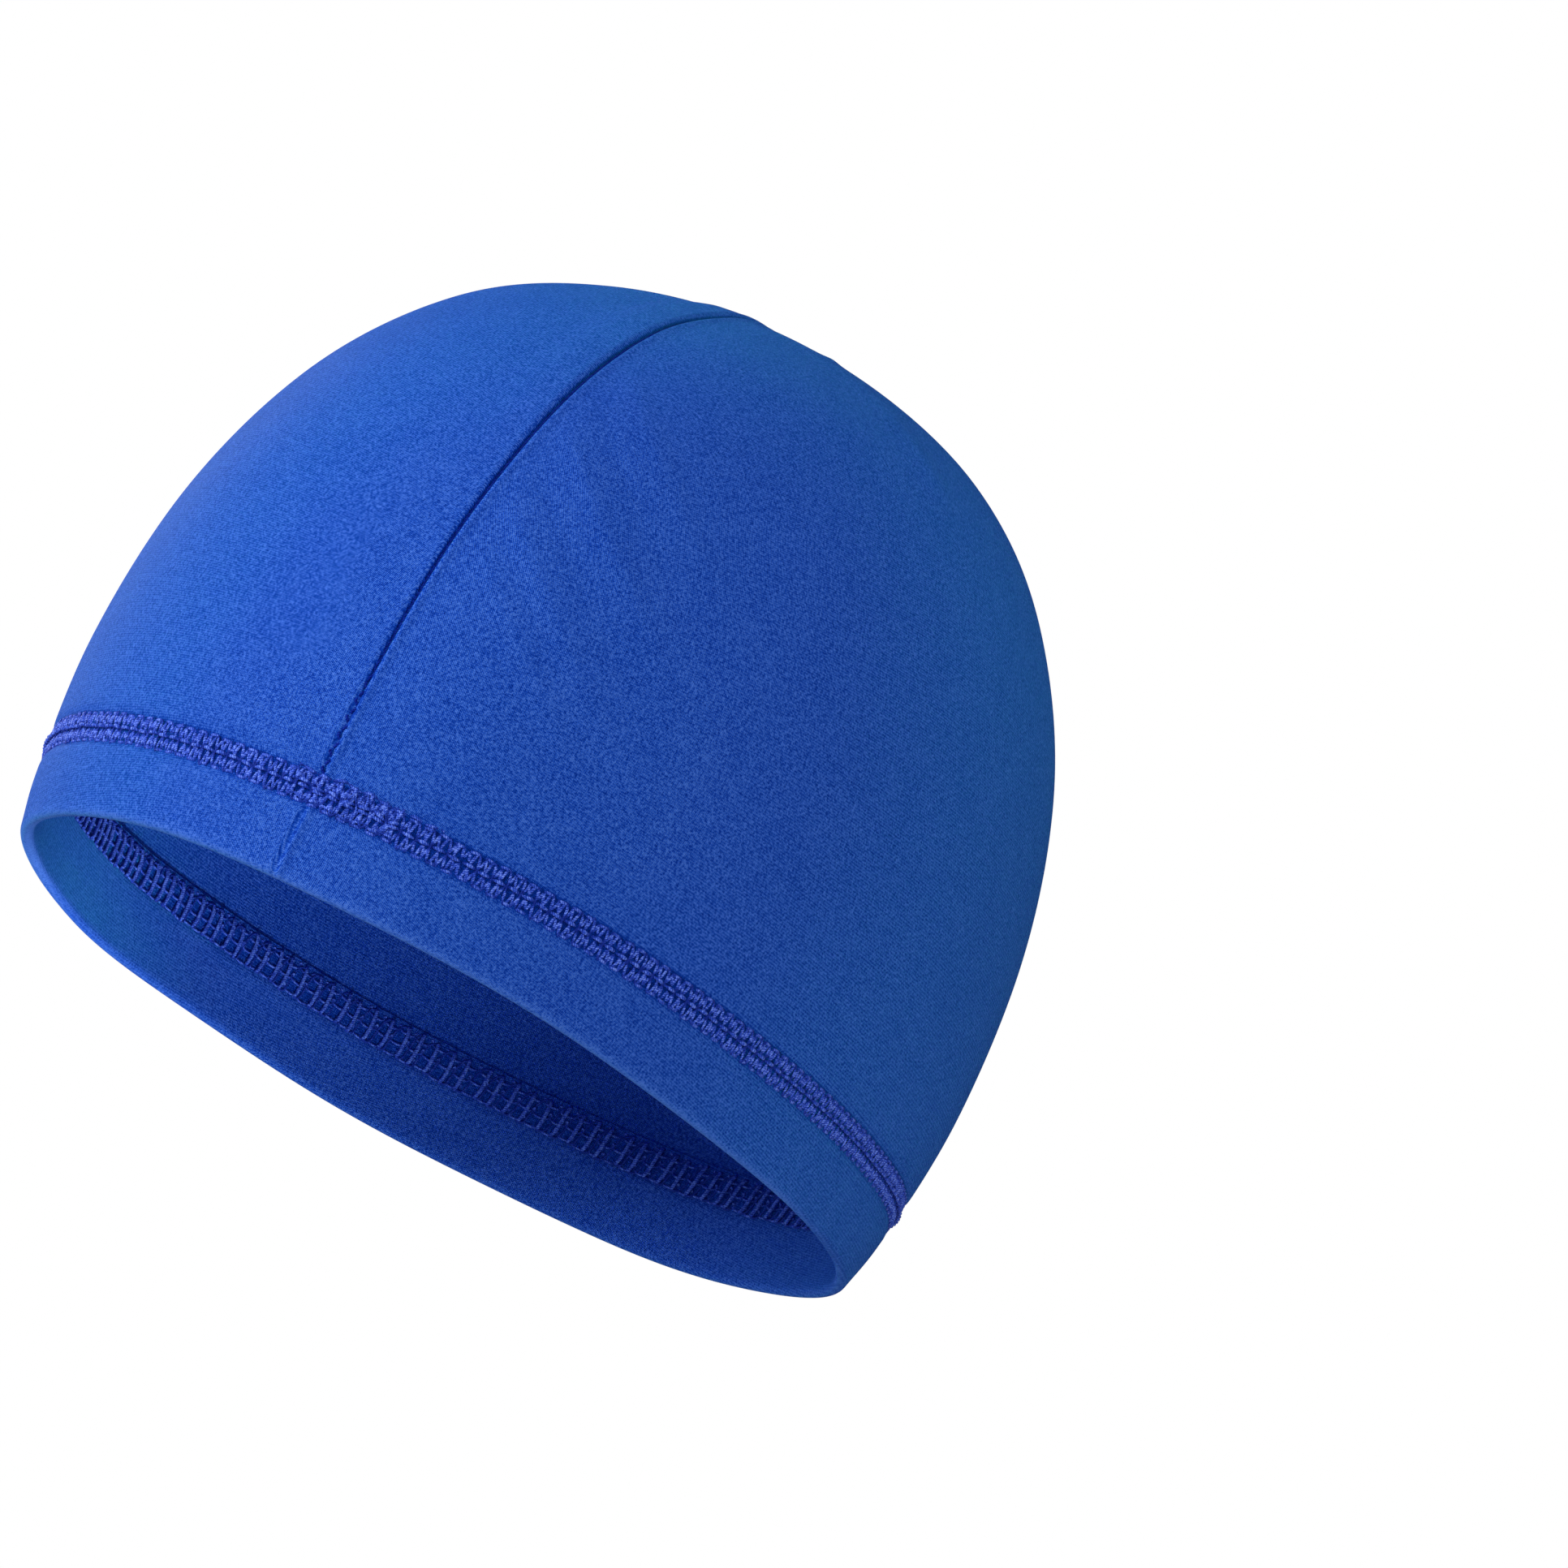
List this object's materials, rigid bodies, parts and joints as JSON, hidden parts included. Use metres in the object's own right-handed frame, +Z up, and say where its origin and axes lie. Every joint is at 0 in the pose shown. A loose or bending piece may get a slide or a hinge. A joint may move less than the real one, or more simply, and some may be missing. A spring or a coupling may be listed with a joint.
{
  "type": "helmet liner cap",
  "caption": "Close-fitting skull cap of smooth blue stretch knit with a seam over the crown and a cover-stitched, turned-up hem, worn under a helmet.",
  "frame": {"origin": "centre of the head opening, at the height of the fold of the hem, under the top of the crown", "axes": "+Z up to the crown, -Y towards the side where the seam comes down to the hem, +X to the right as seen from that side"},
  "size_m": [0.157, 0.2059, 0.138],
  "materials": {
    "knit_cloth": "smooth fine interlock knit, matt, royal blue",
    "overlocked_cloth": "cut knit edges under overlock thread, matt, royal blue",
    "cover_thread": "textured polyester thread with a slight sheen, indigo",
    "looper_thread": "textured polyester thread with a slight sheen, dark indigo"
  },
  "bodies": {
    "root": {"cap_body": "knit_cloth", "seam_allowance": "overlocked_cloth", "hem_stitch_outer": "cover_thread", "hem_stitch_inner": "looper_thread"}
  },
  "joints": []
}
